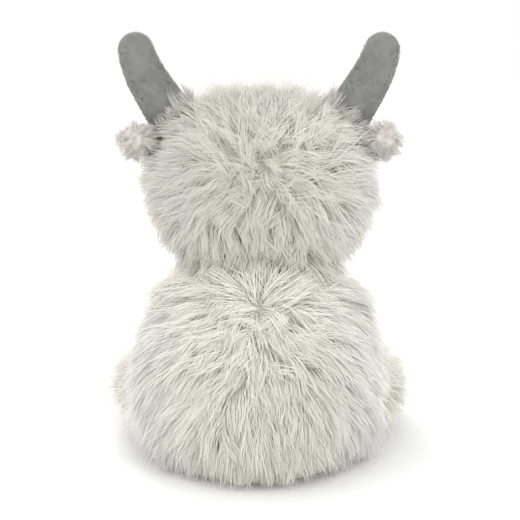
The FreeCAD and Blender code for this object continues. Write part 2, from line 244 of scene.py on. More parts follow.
def horn_axis(share):
    """Points on the left horn's middle line, at shares from 0 at the root to 1 at the tip's ball centre."""
    line = np.array([(x, HORN_Y, z) for x, z in HORN_LINE], float)
    along = np.asarray(share, float) * (len(line) - 1)
    index = np.clip(along.astype(int), 0, len(line) - 2)
    t = (along - index)[:, None]
    p0, p3 = line[np.maximum(index - 1, 0)], line[np.minimum(index + 2, len(line) - 1)]
    p1, p2 = line[index], line[index + 1]
    squared = (2 * p0 - 5 * p1 + 4 * p2 - p3) * t**2
    cubed = (3 * p1 - p0 - 3 * p2 + p3) * t**3
    return 0.5 * (2 * p1 + (p2 - p0) * t + squared + cubed)


def horn_form():
    middle = horn_axis(np.linspace(0, 1, HORN_LINKS + 1))
    radius = np.linspace(HORN_ROOT_RADIUS, HORN_TIP_RADIUS, HORN_LINKS + 1)
    ends = zip(middle[:-1], middle[1:], radius[:-1], radius[1:])
    return nearest(*[round_cone(*end) for end in ends])


TORSO = round_cone(HIP_CENTRE, CHEST_CENTRE, HIP_RADIUS, CHEST_RADIUS)
HEAD = crossbar(HEAD_LEFT, HEAD_RADIUS)
FACE = crossbar(HEAD_LEFT, FACE_RADIUS)
NECK = sphere(NECK_CENTRE, NECK_RADIUS)
MUZZLE = round_cone(MUZZLE_ROOT, MUZZLE_TIP, MUZZLE_ROOT_RADIUS, MUZZLE_TIP_RADIUS)
NOSE = crossbar(NOSE_LEFT, NOSE_RADIUS)
HORN = horn_form()
EAR = round_cone(EAR_ROOT, EAR_TIP, EAR_ROOT_RADIUS, EAR_TIP_RADIUS)
FRONT_LEG = round_cone(SHOULDER, FRONT_TOE, FRONT_RADIUS, FRONT_RADIUS - LEG_TAPER)
HIND_LEG = round_cone(HIP, HIND_TOE, HIND_RADIUS, HIND_RADIUS - LEG_TAPER)

# The lining is a flat pad in the front of the ear
LINING_FRONT = EAR_ROOT[1] - EAR_HALF_THICKNESS + LINING_INSET
LINING_BACK = LINING_FRONT + LINING_THICKNESS
LINING = overlap(
    deeper(EAR, LINING_DEPTH), half_space((0, -1, 0), -LINING_FRONT), half_space((0, 1, 0), LINING_BACK)
)
LINING_CENTRE = np.array([67.5, (LINING_FRONT + LINING_BACK) / 2, 186.8])

# A leg's sleeve ends at its wrist or ankle, and the hoof starts a little inside the sleeve
FRONT_WAY, HIND_WAY = unit(FRONT_TOE - SHOULDER), unit(HIND_TOE - HIP)
WRIST = SHOULDER + (FRONT_TOE - SHOULDER) * FRONT_SLEEVE
ANKLE = HIP + (HIND_TOE - HIP) * HIND_SLEEVE
FRONT_HOOF = overlap(
    round_cone(SHOULDER, FRONT_TOE, FRONT_HOOF_RADIUS, FRONT_HOOF_RADIUS),
    half_space(-FRONT_WAY, -float((WRIST - FRONT_WAY * FRONT_HOOF_INSET) @ FRONT_WAY)),
)
SOLE = HIND_TOE + HIND_WAY * (HIND_FOOT + SOLE_BULGE)
HIND_HOOF = puck(ANKLE - HIND_WAY * HIND_HOOF_INSET, SOLE, HIND_HOOF_RADIUS, SOLE_EDGE)

HORNS_AND_EARS = on_both_sides(nearest(HORN, EAR))
LEGS = on_both_sides(nearest(FRONT_LEG, HIND_LEG))


# Fur


def scatter(form, box, keep, spacing, seed):
    """Evenly spread points on a form's surface inside a box, where keep(points) is true."""
    source = np.random.default_rng(seed)
    low, high = np.array(box, float)
    wanted = int(np.prod(high - low) * 4.0 / (spacing**2 * 2.0) * 1.1)
    p = source.uniform(low, high, (min(wanted, MOST_CANDIDATES), 3))
    p = settle(form, p[np.abs(form(p)) < 1.0])
    inside = ((p >= low) & (p < high)).all(1)
    p = p[inside & keep(p)]
    tree = kdtree.KDTree(len(p))
    for i, point in enumerate(p):
        tree.insert(point, i)
    tree.balance()
    free = np.ones(len(p), bool)
    chosen = []
    for i in range(len(p)):
        if free[i]:
            chosen.append(i)
            for _, j, _ in tree.find_range(p[i], spacing):
                free[j] = False
    return p[chosen]


def lay(comb, points, normal, turn):
    """The comb's way at each point, laid flat on the surface and turned in it."""
    way = comb(points)
    way = unit(way - normal * dot(way, normal)[:, None])
    across = np.cross(normal, way)
    return unit(way * np.cos(turn)[:, None] + across * np.sin(turn)[:, None])


def curves(root, normal, way, length, rise, look, wobble, source):
    """Strand middle lines as (strand, ring, xyz). rise is added to the look's angles above the backing."""
    count, steps = len(root), RINGS * 2
    start, end = look["lift"][0] + rise, look["lift"][1] + rise
    points = np.empty((count, RINGS + 1, 3))
    points[:, 0] = root
    here = root.copy()
    side = unit(np.cross(normal, way))
    phase, _ = source.uniform(0, 2 * math.pi, (count, 2)).T
    waves = source.uniform(*STRAND_WAVES, count)
    for step in range(steps):
        s = (step + 0.5) / steps
        angle = np.radians(start + (end - start) * s**LEAN_CURVE)
        ahead = way * np.cos(angle)[:, None] + normal * np.sin(angle)[:, None] - UP * (look["droop"] * s * s)
        swing = wobble * np.sin(phase + 2 * math.pi * waves * s)
        ahead = unit(ahead) + side * swing[:, None]
        here = here + unit(ahead) * (length / steps)[:, None]
        if step % 2:
            points[:, step // 2 + 1] = here
    return points


def lock_lines(base, locks, root, normal, owner, comb, look, seed, source):
    """Middle lines of all strands, each drawn towards its own lock's line on the way to the tip."""
    count, strands = len(locks), len(owner)
    length = look["length"](locks) * source.uniform(*LOCK_LENGTHS, count)
    tousle = look["tousle"](locks)
    turn = source.normal(size=count) * (look["stray"] + TOUSLE_TURN * tousle)
    turn = turn + SWIRL_TURN * fractal(locks, SWIRL_SPAN, seed + 5)
    rise = np.clip(source.normal(size=count) * LOCK_RISE, *LOCK_RISE_LIMITS) + TOUSLE_RISE * tousle
    lock_normal = gradient(base, locks)
    way = lay(comb, locks, lock_normal, turn)
    guide = curves(locks, lock_normal, way, length, rise, look, LOCK_WOBBLE, source)

    wisp = source.uniform(size=strands) < look["wisps"]
    turn = turn[owner] + source.normal(size=strands) * STRAND_TURN
    rise = rise[owner] + source.normal(size=strands) * STRAND_RISE + WISP_RISE * wisp
    length = length[owner] * source.uniform(*STRAND_LENGTHS, strands) * (1 + WISP_LENGTH * wisp)
    wobble = source.uniform(*STRAND_WOBBLE, strands)
    own = curves(root, normal, lay(comb, root, normal, turn), length, rise, look, wobble, source)

    share = np.linspace(0, 1, RINGS + 1)[None, :, None]
    pull = look["clump"] * share**CLUMP_CURVE * (1 - WISP_FREEDOM * wisp)[:, None, None]
    offset = (root - locks[owner])[:, None, :]
    points = own * (1 - pull) + (guide[owner] + offset * CLUMP_ROOM) * pull
    floor = FLOOR_GAP + FLOOR_SPREAD * np.abs(offset[:, :, 2])
    points[:, :, 2] = np.maximum(points[:, :, 2], floor)
    return points


def lock_tones(locks, owner, look, source):
    """Each strand's place across the UV map, mostly its lock's own."""
    count, strands = len(locks), len(owner)
    tone = look["tone"](locks)[owner] + source.normal(size=count)[owner] * LOCK_TONE
    tone = tone + source.normal(size=strands) * STRAND_TONE
    warm = source.uniform(size=strands) < look["warmth"](locks)[owner]
    return TONE_SPAN * np.clip(tone, 0.0, 1.0) + np.where(warm, WARM_START, 0.0)


def drape(points, form):
    """Lines pushed out of a form, to lie against it."""
    for ring in range(1, RINGS + 1):
        gap = form(points[:, ring])
        inside = np.flatnonzero(gap < DRAPE_GAP)
        out = gradient(form, points[inside, ring])
        points[inside, ring] += out * (DRAPE_GAP - gap[inside])[:, None]
    return points


def strand_corners(points, outward, width):
    """Vertices of the tubes round the middle lines, and the way that each vertex faces."""
    around = (len(points), RINGS * 3, 3)
    along = unit(np.gradient(points, axis=1))
    side = unit(np.cross(along, outward[:, None, :]))
    rise = np.cross(side, along)
    radius = 0.5 * width[:, None, None] * np.array(STRAND_PROFILE)[None, :, None]
    rings, facings = [], []
    for angle in STRAND_CORNERS:
        turn = math.radians(angle)
        offset = side * math.cos(turn) + rise * math.sin(turn) * STRAND_FLATNESS
        rings.append(points[:, :RINGS] + offset[:, :RINGS] * radius)
        facings.append(offset[:, :RINGS])
    vertices = np.concatenate([np.stack(rings, 2).reshape(around), points[:, RINGS:]], 1)
    facing = np.concatenate([np.stack(facings, 2).reshape(around), rise[:, RINGS:]], 1)
    return vertices, unit(facing)


def strand_faces():
    """One strand's faces, as lists of (ring, side) corners. The tip is one corner past the last ring."""
    last, tip = RINGS - 1, (RINGS, 1)
    faces = []
    for ring in range(last):
        for side in range(3):
            after = (side + 1) % 3
            faces.append([(ring, side), (ring, after), (ring + 1, after), (ring + 1, side)])
    for side in range(3):
        faces.append([(last, side), (last, (side + 1) % 3), tip])
    faces.append([(0, 2), (0, 1), (0, 0)])
    return faces


def strand_mesh(name, points, outward, width, tone, softness):
    """One mesh of closed three-sided tubes along the given lines."""
    count, per = len(points), RINGS * 3 + 1
    vertices, facing = strand_corners(points, outward, width)
    facing = unit(facing * (1 - softness) + outward[:, None, :] * softness)
    faces = strand_faces()
    corners = [corner for face in faces for corner in face]
    order = np.array([min(ring * 3 + side, per - 1) for ring, side in corners])
    index = (order[None, :] + (np.arange(count) * per)[:, None]).ravel()
    totals = np.tile([len(face) for face in faces], count)
    starts = np.concatenate([[0], np.cumsum(totals)[:-1]])
    mesh = bpy.data.meshes.new(name)
    mesh.vertices.add(count * per)
    mesh.vertices.foreach_set("co", (vertices * MM).astype(np.float32).ravel())
    mesh.loops.add(len(index))
    mesh.loops.foreach_set("vertex_index", index.astype(np.int32))
    mesh.polygons.add(len(totals))
    mesh.polygons.foreach_set("loop_start", starts.astype(np.int32))
    mesh.polygons.foreach_set("loop_total", totals.astype(np.int32))
    mesh.polygons.foreach_set("use_smooth", np.ones(len(totals), bool))
    mesh.update(calc_edges=True)
    shading = mesh.attributes.new("custom_normal", "FLOAT_VECTOR", "POINT")
    shading.data.foreach_set("vector", facing.astype(np.float32).ravel())
    aside = np.array([side - 1 for ring, side in corners]) * UV_SIDE_STEP
    along = np.array([ring / RINGS for ring, side in corners])
    u = np.clip(tone, UV_MARGIN, 1 - UV_MARGIN)[:, None] + aside[None, :]
    v = np.broadcast_to(UV_MARGIN + (1 - 2 * UV_MARGIN) * along[None, :], u.shape)
    layer = mesh.uv_layers.new(name="OFBake")
    layer.data.foreach_set("uv", np.stack([u, v], 2).astype(np.float32).ravel())
    return mesh


def shown(name, mesh, finish):
    """A new object in the scene, with one material."""
    piece = bpy.data.objects.new(name, mesh)
    bpy.context.scene.collection.objects.link(piece)
    mesh.materials.append(finish)
    return piece


def grow(name, form, box, comb, look, seed, flip=False):
    """Combed, clumped fur on the part of a form in a box. comb gives the way it lies."""
    source = np.random.default_rng(seed)
    base = deeper(form, look["depth"])
    locks = scatter(base, box, look["keep"], look["spacing"], seed)
    owner = np.repeat(np.arange(len(locks)), look["strands"])
    root = locks[owner] + source.normal(size=(len(owner), 3)) * look["spacing"] * LOCK_SPREAD
    root = settle(base, root)
    normal = gradient(base, root)
    points = lock_lines(base, locks, root, normal, owner, comb, look, seed, source)
    tone = lock_tones(locks, owner, look, source)
    width = look["width"] * source.uniform(*STRAND_WIDTHS, len(owner))
    clear = np.min([look["avoid"](points[:, ring]) for ring in range(1, RINGS + 1)], axis=0) > 0
    points, normal, width, tone = points[clear], normal[clear], width[clear], tone[clear]
    points = drape(points, look["drape"])
    if flip:
        points, normal = mirror(points), mirror(normal)
    return shown(name, strand_mesh(name, points, normal, width, tone, look["softness"]), look["material"])


def undercoat(name, form, centre, finish, flip=False):
    """Closed, slightly uneven surface of a form that is seen whole from its centre."""
    bm = bmesh.new()
    bmesh.ops.create_icosphere(bm, subdivisions=5, radius=1.0)
    ways = np.array([v.co for v in bm.verts])
    inner, outer = np.zeros(len(ways)), np.full(len(ways), LARGEST_REACH)
    for _ in range(HALVINGS):
        middle = (inner + outer) / 2
        inside = form(centre + ways * middle[:, None]) < 0
        inner, outer = np.where(inside, middle, inner), np.where(inside, outer, middle)
    points = centre + ways * inner[:, None]
    points = points + ways * (CLOTH_BUMP * fractal(points, CLOTH_BUMP_SPAN, CLOTH_SEED))[:, None]
    if flip:
        points = mirror(points)
    for vertex, point in zip(bm.verts, points):
        vertex.co = point * MM
    if flip:
        bmesh.ops.reverse_faces(bm, faces=bm.faces)
    mesh = bpy.data.meshes.new(name)
    bm.to_mesh(mesh)
    bm.free()
    for polygon in mesh.polygons:
        polygon.use_smooth = True
    return shown(name, mesh, finish)


# Materials


def new_material(name):
    made = bpy.data.materials.new(name)
    made.use_nodes = True
    return made, made.node_tree, made.node_tree.nodes["Principled BSDF"]


def ramp(tree, source, stops):
    node = tree.nodes.new("ShaderNodeValToRGB")
    node.color_ramp.interpolation = "LINEAR"
    while len(node.color_ramp.elements) < len(stops):
        node.color_ramp.elements.new(0.5)
    for element, (position, colour) in zip(node.color_ramp.elements, stops):
        element.position = position
        element.color = (*colour, 1.0)
    tree.links.new(source, node.inputs["Fac"])
    return node.outputs["Color"]


def multiply(tree, a, b):
    node = tree.nodes.new("ShaderNodeMix")
    node.data_type = "RGBA"
    node.blend_type = "MULTIPLY"
    node.inputs["Factor"].default_value = 1.0
    tree.links.new(a, node.inputs["A"])
    tree.links.new(b, node.inputs["B"])
    return node.outputs["Result"]


def speckle(tree, scale, detail=2.0, roughness=0.5):
    """Noise in the object's own space."""
    node = tree.nodes.new("ShaderNodeTexNoise")
    node.inputs["Scale"].default_value = scale
    node.inputs["Detail"].default_value = detail
    node.inputs["Roughness"].default_value = roughness
    where = tree.nodes.new("ShaderNodeTexCoord")
    tree.links.new(where.outputs["Object"], node.inputs["Vector"])
    return node.outputs["Fac"]


def fur_material(name, tints, lengths, roughness=0.75):
    """Pile colour from the strand's tone across u, which holds painted light and shade besides its own tone,
    and from root to tip along v.
    """
    made, tree, shader = new_material(name)
    strand_map = tree.nodes.new("ShaderNodeUVMap")
    strand_map.uv_map = "OFBake"
    split = tree.nodes.new("ShaderNodeSeparateXYZ")
    tree.links.new(strand_map.outputs["UV"], split.inputs["Vector"])
    tint = ramp(tree, split.outputs["X"], tints)
    length = ramp(tree, split.outputs["Y"], lengths)
    tree.links.new(multiply(tree, tint, length), shader.inputs["Base Color"])
    shader.inputs["Roughness"].default_value = roughness
    shader.inputs["Specular IOR Level"].default_value = 0.12
    shader.inputs["Sheen Weight"].default_value = 0.25
    shader.inputs["Sheen Roughness"].default_value = 0.5
    return made


def cloth_material(name, dark, light, grain, relief, sheen=0.3, roughness=0.85):
    """Short-napped or woven cloth: two shades in soft blotches and a fine grain that stands up a little."""
    made, tree, shader = new_material(name)
    fine_share = 0.45
    broad = speckle(tree, grain / 9, 4.0)
    fine = speckle(tree, grain, 6.0, 0.7)
    scaled = tree.nodes.new("ShaderNodeMath")
    scaled.operation = "MULTIPLY"
    scaled.inputs[1].default_value = fine_share
    tree.links.new(fine, scaled.inputs[0])
    blend = tree.nodes.new("ShaderNodeMath")
    blend.operation = "MULTIPLY_ADD"
    blend.inputs[1].default_value = 1 - fine_share
    tree.links.new(broad, blend.inputs[0])
    tree.links.new(scaled.outputs["Value"], blend.inputs[2])
    colour = ramp(tree, blend.outputs["Value"], [(0.33, dark), (0.66, light)])
    tree.links.new(colour, shader.inputs["Base Color"])
    bump = tree.nodes.new("ShaderNodeBump")
    bump.inputs["Strength"].default_value = 0.5
    bump.inputs["Distance"].default_value = relief * MM
    tree.links.new(fine, bump.inputs["Height"])
    tree.links.new(bump.outputs["Normal"], shader.inputs["Normal"])
    shader.inputs["Roughness"].default_value = roughness
    shader.inputs["Specular IOR Level"].default_value = 0.2
    shader.inputs["Sheen Weight"].default_value = sheen
    return made


def eye_material():
    """Nearly black glossy plastic with faint brown specks."""
    made, tree, shader = new_material("eye_plastic")
    specks = [(0.3, (0.012, 0.008, 0.006)), (0.8, (0.035, 0.022, 0.014))]
    tree.links.new(ramp(tree, speckle(tree, 260.0), specks), shader.inputs["Base Color"])
    shader.inputs["Roughness"].default_value = 0.08
    shader.inputs["Coat Weight"].default_value = 0.6
    return made


def two_shades(cool, warm):
    """Ramp stops that run from a dark to a light cool shade, and then from a dark to a light warm one."""
    return [(0.0, cool[0]), (0.495, cool[1]), (0.505, warm[0]), (1.0, warm[1])]


LONG_PILE = fur_material(
    "long_pile",
    two_shades([(0.69, 0.67, 0.64), (0.975, 0.96, 0.925)], [(0.69, 0.67, 0.57), (0.985, 0.97, 0.86)]),
    [(0.0, (0.98, 0.975, 0.955)), (0.4, (1.0, 0.998, 0.99)), (1.0, (0.985, 0.985, 0.985))],
)
EAR_PILE = fur_material(
    "ear_pile",
    two_shades([(0.58, 0.555, 0.53), (0.90, 0.87, 0.84)], [(0.60, 0.56, 0.50), (0.92, 0.89, 0.82)]),
    [(0.0, (0.84, 0.79, 0.75)), (0.5, (0.94, 0.92, 0.90)), (1.0, (1.0, 1.0, 1.0))],
)
NAP = fur_material(
    "nap",
    two_shades([(0.13, 0.134, 0.125), (0.26, 0.265, 0.25)], [(0.13, 0.132, 0.12), (0.26, 0.26, 0.24)]),
    [(0.0, (0.85, 0.85, 0.85)), (1.0, (1.0, 1.0, 1.0))],
    roughness=0.8,
)
# The backing's colour is painted shade: darker than the pile, in the tone of the shade deep in the pile where
# the cloth shows through.
BACKING_IN_PAINTED_SHADE = cloth_material("backing", (0.56, 0.545, 0.49), (0.66, 0.645, 0.585), 700, 0.3)
VELBOA = cloth_material("velboa", (0.15, 0.154, 0.143), (0.23, 0.234, 0.218), 900, 0.25, sheen=0.2)
PLUSH = cloth_material("plush", (0.60, 0.58, 0.52), (0.72, 0.70, 0.64), 900, 0.3)
NOSE_CLOTH = cloth_material("nose_cloth", (0.11, 0.10, 0.095), (0.20, 0.185, 0.175), 1100, 0.2)
THREAD = cloth_material("thread", (0.05, 0.045, 0.04), (0.11, 0.10, 0.09), 2500, 0.1)
FIBRE = cloth_material("fibre", (0.80, 0.80, 0.79), (0.92, 0.92, 0.91), 400, 0.5)
COTTON = cloth_material("cotton", (0.72, 0.71, 0.67), (0.86, 0.85, 0.81), 1500, 0.15, sheen=0.0)
EYE_PLASTIC = eye_material()


# Combs: the way the pile lies, before it is laid flat on the surface. Only their direction counts


BACK_WHORL, HEAD_WHORL = np.array([0.0, 60.0, 106.0]), np.array([-3.0, 50.0, 180.0])
BACK_WHORL_REACH, HEAD_WHORL_REACH = 30.0, 34.0
BROW = np.array([0.0, -48.0, 176.0])
HORN_FOOT = np.array([HORN_LINE[0][0], HORN_Y, HORN_LINE[0][1]], float)


def one_way(x, y, z):
    return lambda p: np.tile([x, y, z], (len(p), 1))


def comb_torso(p):
    """Out and down from a whorl high on the back, and straight down at the sides and belly."""
    away = unit(p - BACK_WHORL)
    back = smooth(-5.0, 45.0, p[:, 1])[:, None]
    outward = unit(p * np.array([1.0, 1.0, 0.0]))
    down = outward * 0.35 - UP
    return away * back * 1.3 + down * (1.05 - back * 0.75)


def comb_head(p):
    """Out from a whorl on the back of the head, and more downwards low on it."""
    low = smooth(185.0, 140.0, p[:, 2])[:, None]
    return unit(p - HEAD_WHORL) - UP * 0.45 * low


def comb_face(p):
    """Out from between the eyes, and a little down."""
    return unit(p - BROW) - UP * 0.35


def comb_forelock(p):
    """Forward over the brow, parted in the middle."""
    return np.array([0.0, -1.0, -0.55]) + unit(p * np.array([1.0, 0, 0])) * 0.35


def comb_ear(p):
    """Round the ear towards its rim and its lining, and a little down."""
    return unit(p - EAR_TIP) * np.array([1.0, 0.0, 1.0]) + np.array([0.3, -0.8, -0.35])


def comb_lining(p):
    return p - EAR_ROOT


def comb_collar(p):
    """Up along the horn's root, and out from it."""
    return np.array([0.45, 0.0, 0.8]) + unit(p - HORN_FOOT) * 0.3


# Tone, warmth, length and tousle of the pile at each point. Tone and warmth hold painted light and shade
# besides the pile's own colour


def fixed(value):
    return lambda p: np.full(len(p), float(value))


def near(centre, reach):
    """One at a centre, falling to nothing a few times the reach away."""
    return lambda p: np.exp(-((np.linalg.norm(p - centre, axis=1) / reach) ** 2))


def tone_body(p):
    """Lightest high on the back and darker on the left flank: painted light on the upper back, and painted
    shade on the left flank, away from the key light. The noise is the pile's own random tone.
    """
    # painted light high on the back
    painted_light = np.exp(-(((p[:, 0] - 2) / 34) ** 2) - ((p[:, 2] - 96) / 26) ** 2) * smooth(0, 40, p[:, 1])
    # painted shade on the left flank, away from the key light
    left = smooth(25.0, 60.0, p[:, 0]) * smooth(-20.0, 20.0, p[:, 1])
    return 0.66 + 0.32 * painted_light - 0.12 * left + 0.08 * fractal(p, 60.0, 11)


def tone_head(p):
    """Darker than the body behind, most of all at the nape, on top and on the left. The darkening at the nape
    is a painted shadow, and on the left it is painted shade on the side away from the key light.
    """
    # painted shadow at the nape
    nape = smooth(150.0, 122.0, p[:, 2])
    # painted shade on the left side of the head, away from the key light
    left = smooth(5.0, 50.0, p[:, 0])
    behind = smooth(-30.0, 20.0, p[:, 1])
    top = smooth(188.0, 210.0, p[:, 2])
    return 0.62 - (0.18 + 0.06 * nape + 0.32 * left) * behind - 0.55 * top + 0.08 * fractal(p, 50.0, 12)


def tone_nap(p):
    return 0.5 + 0.35 * fractal(p, 16.0, 51)


def warmth(p):
    """Share of warm cream strands: most in the middle, few on the flanks behind and on top of the head. This
    spread is a painted tint of the light, warm in the middle and cool on the flanks and on top; the noise is
    the pile's own random mix.
    """
    # painted cool tint of the light on the flanks behind and on top of the head
    flank = smooth(18.0, 52.0, np.abs(p[:, 0])) * smooth(-20.0, 10.0, p[:, 1])
    top = smooth(190.0, 208.0, p[:, 2])
    return np.clip(0.85 - 0.65 * flank - 0.4 * top + 0.2 * fractal(p, 45.0, 13), 0.0, 1.0)


def length_body(p):
    """Longest round the shoulders and hips, and short and ragged where it is tucked in near the floor."""
    shoulders = smooth(62.0, 84.0, p[:, 2]) * smooth(15.0, 45.0, np.abs(p[:, 0] + 4.0))
    hips = smooth(40.0, 60.0, np.abs(p[:, 0])) * smooth(70.0, 50.0, p[:, 2])
    tucked = smooth(30.0, 6.0, p[:, 2]) * (1 + 0.5 * smooth(0.0, -40.0, p[:, 0]))
    ragged = smooth(34.0, 12.0, p[:, 2]) * fractal(p, 20.0, 23)
    return 24.0 + 7.0 * shoulders + 5.0 * hips - 8.0 * tucked + 5.0 * ragged + 3.0 * fractal(p, 45.0, 21)


def length_head(p):
    """Shorter on top, and fuller on the right cheek."""
    right = smooth(-15.0, -45.0, p[:, 0]) * smooth(185.0, 165.0, p[:, 2])
    return 19.5 + 2.5 * smooth(205.0, 165.0, p[:, 2]) + 4.0 * right + 2.0 * fractal(p, 40.0, 22)


def length_neck(p):
    """Short where the head or the torso covers it, and bare only when the neck bends."""
    return 26.0 - 14.0 * smooth(5.0, 20.0, np.abs(p[:, 2] - NECK_CENTRE[2]))


# Looks of the pile, in millimetres and degrees


def anywhere(p):
    return np.full(len(p), True)


def behind_face(p):
    return HORNS_AND_EARS(p) > -1.0


def on_face(p):
    return (MUZZLE(p) > 0.5) & (p[:, 1] < FACE_SEAM_Y)


def on_muzzle(p):
    """Off the face, the seam at the mouth and the nose."""
    return (FACE(p) > 0.5) & (np.abs(p[:, 2] - MOUTH_HEIGHT) > 0.6) & (NOSE(p) > 0.5)


def on_front_leg(p):
    return ((p - WRIST) @ FRONT_WAY < 0) & (TORSO(p) > -6.0)


def on_hind_leg(p):
    return ((p - ANKLE) @ HIND_WAY < 0) & (TORSO(p) > -8.0)


def eyes(reach):
    """Room round the eyes that pile keeps out of."""
    return on_both_sides(sphere(EYE, reach))


BODY_LOOK = {
    "material": LONG_PILE,
    "keep": anywhere,  # where locks may start
    "avoid": fixed(1),  # a form that no strand enters
    "drape": fixed(1),  # a form that strands lie against
    "spacing": 3.2,  # between locks
    "strands": 18,  # in a lock
    "depth": BACKING,  # of the roots, below the end of the pile
    "length": length_body,
    "lift": (52.0, 6.0),  # above the backing, at the root and at the tip
    "droop": 0.25,
    "stray": 0.24,
    "tousle": near(BACK_WHORL, BACK_WHORL_REACH),
    "clump": 0.4,
    "wisps": 0.08,
    "width": 0.36,
    "softness": SOFTNESS,
    "tone": tone_body,
    "warmth": warmth,
}
TORSO_LOOK = dict(BODY_LOOK, keep=lambda p: LEGS(p) > -3.0)
BELLY_LOOK = dict(TORSO_LOOK, spacing=4.3)
HEAD_LOOK = dict(
    BODY_LOOK, length=length_head, tone=tone_head, lift=(50.0, 8.0), droop=0.22,
    tousle=near(HEAD_WHORL, HEAD_WHORL_REACH),
)
REAR_HEAD_LOOK = dict(
    HEAD_LOOK, keep=behind_face, drape=HORNS_AND_EARS, avoid=nearest(deeper(HORNS_AND_EARS, 5.0), eyes(8.0)),
)
NECK_LOOK = dict(
    BODY_LOOK, depth=4.6, length=length_neck, tone=fixed(0.5), spacing=3.4, strands=12, lift=(66.0, 24.0),
    droop=0.5, tousle=fixed(0.1),
)
FACE_LOOK = dict(
    BODY_LOOK, spacing=2.8, strands=12, depth=2.5, length=fixed(8.5), lift=(62.0, 30.0), width=0.34,
    droop=0.15, tone=fixed(0.62), tousle=fixed(0.05), wisps=0.0, keep=on_face, avoid=eyes(7.0),
)
FORELOCK_LOOK = dict(
    HEAD_LOOK, length=fixed(30), lift=(30.0, -24.0), droop=0.45, depth=4.0, tousle=fixed(0), avoid=eyes(11.0),
)
MUZZLE_LOOK = dict(
    BODY_LOOK, spacing=1.9, strands=7, depth=0.3, length=fixed(2.4), lift=(55.0, 25.0), width=0.24, droop=0.1,
    tone=fixed(0.25), tousle=fixed(0), wisps=0.0, keep=on_muzzle, avoid=deeper(NOSE, -0.2),
)
EAR_LOOK = dict(
    BODY_LOOK, material=EAR_PILE, spacing=2.0, strands=12, depth=3.6, length=fixed(8.0), lift=(56.0, 4.0),
    width=0.32, droop=0.3, stray=0.4, tone=fixed(0.56), clump=0.5, wisps=0.05,
    tousle=near(EAR_TIP + np.array([0.0, EAR_TIP_RADIUS, 0.0]), 9.0),
    keep=lambda p: (HEAD(p) > -6.0) & (p[:, 1] > LINING_FRONT + 0.6),
)
LINING_LOOK = dict(
    BODY_LOOK, material=EAR_PILE, spacing=1.9, strands=8, depth=0.3, length=fixed(2.8), lift=(60.0, 30.0),
    width=0.24, droop=0.1, tone=fixed(0.6), tousle=fixed(0.1), wisps=0.0,
    keep=lambda p: (HEAD(p) > -3.0) & (p[:, 1] < LINING_FRONT + 0.6),
)
COLLAR_LOOK = dict(
    BODY_LOOK, spacing=2.3, strands=12, depth=-0.8, length=fixed(10.0), lift=(6.0, 16.0), droop=0.1,
    clump=0.55, tone=tone_head, tousle=fixed(0.08), keep=lambda p: (HEAD(p) > -7.0) & (HEAD(p) < 1.0),
)
NAP_LOOK = dict(
    BODY_LOOK, material=NAP, spacing=1.7, strands=4, depth=0.3, length=fixed(1.5), lift=(50.0, 20.0),
    width=0.26, droop=0.0, clump=0.2, stray=0.7, tone=tone_nap, tousle=fixed(0), wisps=0.0,
    keep=lambda p: HEAD(p) > -2.0,
)
HOOF_LOOK = dict(NAP_LOOK, keep=anywhere, spacing=1.9)
LEG_LOOK = dict(
    BODY_LOOK, spacing=3.6, strands=14, depth=LEG_BACKING, lift=(50.0, 8.0), tousle=fixed(0), wisps=0.0,
)
FRONT_LOOK = dict(LEG_LOOK, length=fixed(19.0), keep=on_front_leg)
HIND_LOOK = dict(LEG_LOOK, length=fixed(21.5), lift=(56.0, 8.0), keep=on_hind_leg)


# Torso, neck and head. The pile of a panel is one patch or two, each on its form inside a box


# Heights that patches end at, how far their boxes reach, and the seeds of their pile
HEM, WAIST, NECKLINE, CHIN, TEMPLE, BROW_LINE, CROWN = 3.5, 60.0, 108.0, 117.0, 165.0, 170.0, 222.0
TORSO_REACH, HEAD_REACH, HEAD_REAR = 75.0, 70.0, 60.0
BELLY_BOX = (-TORSO_REACH, -TORSO_REACH, HEM), (TORSO_REACH, SIDE_SEAM_Y, NECKLINE)
NECK_BOX = (-45, -45, 92), (45, 45, 138)
FACE_BOX = (-52, -55, 119), (52, FACE_SEAM_Y, 205)
FORELOCK_BOX = (-34, -36, 194), (34, -16, 222)
MUZZLE_BOX = (-25, -85, 125), (25, -34, 175)
FIRST_PATCH_SEED, FORELOCK_SEED, FACE_SEED, MUZZLE_SEED = 101, 118, 119, 121


def place(piece, body, slot, *nodes):
    """Put a piece on a body and hide any CAD nodes that it stands for. slot, its material slot, is not used.
    """
    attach(piece, body)
    if nodes:
        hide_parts(*nodes)


def box_on_side(low, high, side):
    """A box on the left side, or its mirror image on the right."""
    if side == "right":
        return (-high[0], *low[1:]), (-low[0], *high[1:])
    return low, high


def cut_box(low, high, height):
    """The parts of a box below and above a height."""
    return (low, (*high[:2], height)), ((*low[:2], height), high)


def torso_patches():
    """Name, box and CAD node of each patch of pile on the back."""
    for side in ("left", "right"):
        whole = box_on_side((0, SIDE_SEAM_Y, HEM), (TORSO_REACH, TORSO_REACH, NECKLINE), side)
        lower, upper = cut_box(*whole, WAIST)
        yield f"back_pile_{side}", lower, f"back_fur_{side}"
        yield f"shoulder_pile_{side}", upper, None


def head_patches():
    """Name, box and CAD node of each patch of pile on the head, behind the face's seam."""
    for side in ("left", "right"):
        whole = box_on_side((CROWN_STRIP, FACE_SEAM_Y, CHIN), (HEAD_REACH, HEAD_REAR, CROWN), side)
        lower, upper = cut_box(*whole, TEMPLE)
        yield f"side_pile_{side}", lower, f"side_fur_{side}"
        yield f"temple_pile_{side}", upper, None
    lower, upper = cut_box((-CROWN_STRIP, FACE_SEAM_Y, CHIN), (CROWN_STRIP, HEAD_REAR, CROWN), BROW_LINE)
    yield "nape_pile", lower, "crown_fur"
    yield "crown_pile", upper, None


